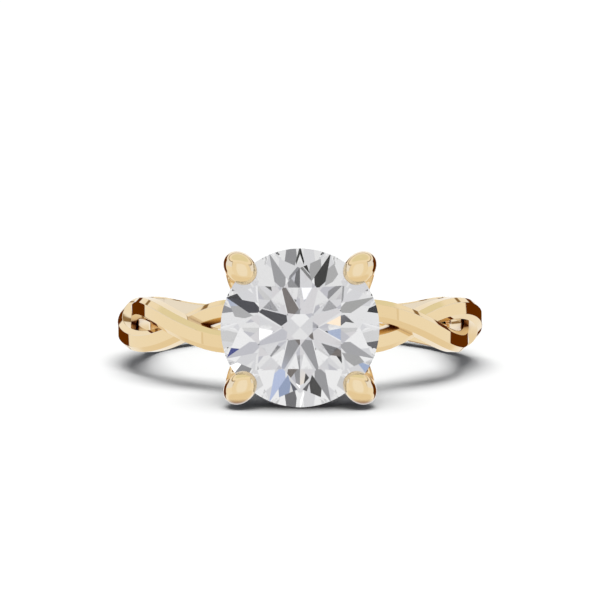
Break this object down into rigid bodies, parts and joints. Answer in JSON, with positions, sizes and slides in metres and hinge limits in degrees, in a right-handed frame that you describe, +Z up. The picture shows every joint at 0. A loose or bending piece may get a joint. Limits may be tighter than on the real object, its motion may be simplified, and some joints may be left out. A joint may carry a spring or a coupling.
{
  "type": "twisted shank solitaire ring",
  "caption": "Yellow gold ring with a two-strand twisted shank and a round brilliant stone held by four prongs, lying on its side.",
  "frame": {"origin": "middle of the footprint, on the ground that the ring rests on", "axes": "+Z up from the ground; -Y from the middle of the finger hole towards the stone; X across the shank. The finger hole's axis leans 7.85 degrees from +Z towards +Y."},
  "size_m": [0.0202, 0.0244, 0.0081],
  "materials": {
    "gold": "polished yellow gold",
    "stone": "polished facets, clear"
  },
  "bodies": {
    "root": {"shank_and_head": "gold", "round_stone": "stone"}
  },
  "joints": []
}
